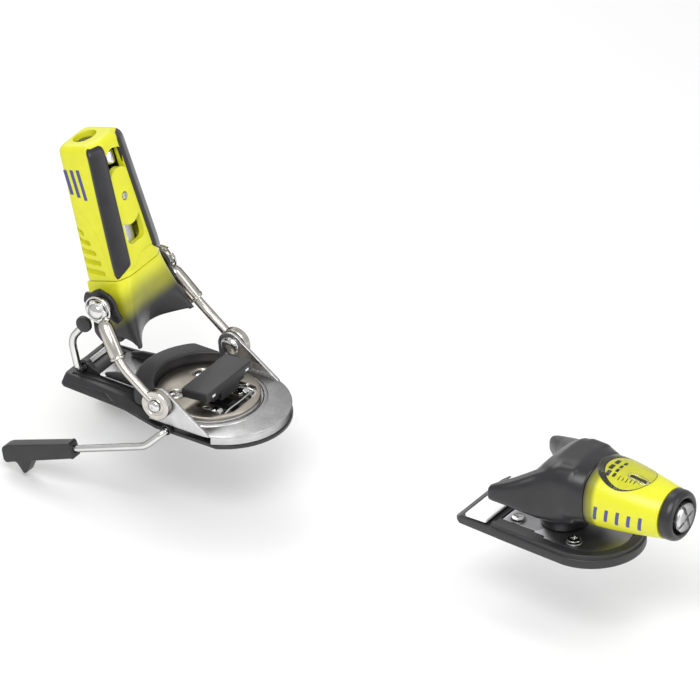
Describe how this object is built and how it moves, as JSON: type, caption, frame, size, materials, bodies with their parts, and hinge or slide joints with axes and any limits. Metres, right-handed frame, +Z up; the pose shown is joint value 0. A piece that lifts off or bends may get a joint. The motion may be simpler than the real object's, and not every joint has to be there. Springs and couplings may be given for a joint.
{
  "type": "ski binding",
  "caption": "Alpine ski binding with a turntable heel unit, open and with its brake down, and a separate swinging toe unit.",
  "frame": {"origin": "where the turntable's axis meets the underside of the heel base, which is the ski's top surface", "axes": "+X towards the toe unit, +Y to the left of the ski, +Z up, away from the ski"},
  "size_m": [0.4695, 0.109, 0.224],
  "materials": {
    "black_plastic": "fine moulded grain, charcoal black",
    "dark_trim": "smooth black moulding",
    "yellow_plastic": "satin neon yellow moulding, fading to black at the jaw",
    "white_plastic": "smooth low-friction plastic",
    "clear_plastic": "clear moulding",
    "silver_metal": "satin silver",
    "nickel_wire": "nickel-plated steel wire",
    "champagne_metal": "satin champagne plating",
    "steel": "zinc-plated steel"
  },
  "bodies": {
    "bases": {"heel_base": "black_plastic", "heel_disc": "champagne_metal", "glide_ring": "white_plastic", "heel_screw_1": "steel", "heel_screw_2": "steel", "heel_screw_3": "steel", "heel_screw_4": "steel", "brake_bush_left": "dark_trim", "brake_bush_right": "dark_trim", "toe_base": "black_plastic", "toe_plate": "steel", "toe_screw_1": "steel", "toe_screw_2": "steel", "toe_screw_3": "steel", "toe_screw_4": "steel", "toe_post": "steel", "afd_rail": "steel"},
    "turntable": {"turntable_plate": "silver_metal", "heel_pad": "black_plastic", "tail_clip": "black_plastic", "ear_pin_left": "nickel_wire", "ear_pin_right": "nickel_wire"},
    "arms": {"arm_rod_left": "nickel_wire", "arm_rod_right": "nickel_wire", "arm_barrel_left": "nickel_wire", "arm_barrel_right": "nickel_wire", "hub_axle": "steel", "hub_nut_left": "silver_metal", "hub_nut_right": "silver_metal"},
    "housing": {"heel_housing": "yellow_plastic", "heel_jaw": "yellow_plastic", "corner_guard_left": "dark_trim", "corner_guard_right": "dark_trim", "hub_guard_left": "dark_trim", "hub_guard_right": "dark_trim", "cam_block": "black_plastic", "release_spring": "steel", "spring_plunger": "steel", "housing_screw": "steel"},
    "heel_adjuster": {"heel_adjuster": "steel"},
    "heel_indicator": {"heel_indicator": "silver_metal"},
    "stirrup": {"stirrup": "nickel_wire"},
    "rollers": {"stirrup_roller_left": "dark_trim", "stirrup_roller_right": "dark_trim"},
    "brake": {"brake_frame": "nickel_wire", "brake_tip_left": "black_plastic", "brake_tip_right": "black_plastic", "brake_spring": "steel", "brake_pedal_pin": "steel"},
    "pedal": {"brake_pedal": "black_plastic"},
    "afd": {"afd_pad": "white_plastic"},
    "toe_head": {"toe_cowl": "black_plastic", "toe_housing": "yellow_plastic", "toe_window": "clear_plastic", "toe_end_ring": "dark_trim", "toe_spring": "steel", "toe_plunger": "steel"},
    "toe_adjuster": {"toe_adjuster": "silver_metal"},
    "toe_indicator": {"toe_indicator": "silver_metal"}
  },
  "joints": [
    {"name": "turntable_spin", "type": "hinge", "parent": "bases", "child": "turntable", "pos_m": [0, 0, 0.008], "axis": [0, 0, 1], "range_deg": [-35, 35]},
    {"name": "arm_hinge", "type": "hinge", "parent": "turntable", "child": "arms", "pos_m": [-0.009, 0, 0.022], "axis": [0, 1, 0], "range_deg": [-6, 0]},
    {"name": "housing_hinge", "type": "hinge", "parent": "arms", "child": "housing", "pos_m": [-0.057, 0, 0.07], "axis": [0, 1, 0], "range_deg": [0, 26]},
    {"name": "heel_adjust", "type": "hinge", "parent": "housing", "child": "heel_adjuster", "pos_m": [-0.08952, 0, 0.16037], "axis": [-0.309, 0, 0.9511], "range_deg": [-360, 360]},
    {"name": "heel_indicator_slide", "type": "slide", "parent": "housing", "child": "heel_indicator", "axis": [-0.309, 0, 0.9511], "range_m": [-0.00301, 0.00301]},
    {"name": "stirrup_hinge", "type": "hinge", "parent": "turntable", "child": "stirrup", "pos_m": [-0.081, 0, 0.0102], "axis": [0, 1, 0], "range_deg": [-15.5, 0]},
    {"name": "roller_spin", "type": "hinge", "parent": "stirrup", "child": "rollers", "pos_m": [-0.074, 0, 0.049], "axis": [0, 1, 0], "continuous": true},
    {"name": "brake_swing", "type": "hinge", "parent": "bases", "child": "brake", "pos_m": [-0.004, 0, 0.0036], "axis": [0, 1, 0], "range_deg": [0, 20]},
    {"name": "pedal_tilt", "type": "hinge", "parent": "brake", "child": "pedal", "pos_m": [0.008, 0, 0.0162], "axis": [0, 1, 0], "range_deg": [-14.1, 0]},
    {"name": "afd_slide", "type": "slide", "parent": "bases", "child": "afd", "axis": [0, 1, 0], "range_m": [-0.006, 0.006]},
    {"name": "toe_swing", "type": "hinge", "parent": "bases", "child": "toe_head", "pos_m": [0.262, 0, 0.02], "axis": [0, 0, 1], "range_deg": [-30, 30]},
    {"name": "toe_adjust", "type": "hinge", "parent": "toe_head", "child": "toe_adjuster", "pos_m": [0.342, 0, 0.04], "axis": [1, 0, 0], "range_deg": [-360, 360]},
    {"name": "toe_indicator_slide", "type": "slide", "parent": "toe_head", "child": "toe_indicator", "axis": [1, 0, 0], "range_m": [-0.00301, 0.00301]}
  ],
  "couplings": [
    {"joint": "arm_hinge", "follows": "housing_hinge", "ratio": -0.23},
    {"joint": "stirrup_hinge", "follows": "housing_hinge", "ratio": -0.592},
    {"joint": "heel_indicator_slide", "follows": "heel_adjust", "m_per_rad": 0.000477},
    {"joint": "pedal_tilt", "follows": "brake_swing", "ratio": -0.7},
    {"joint": "toe_indicator_slide", "follows": "toe_adjust", "m_per_rad": 0.000477}
  ]
}
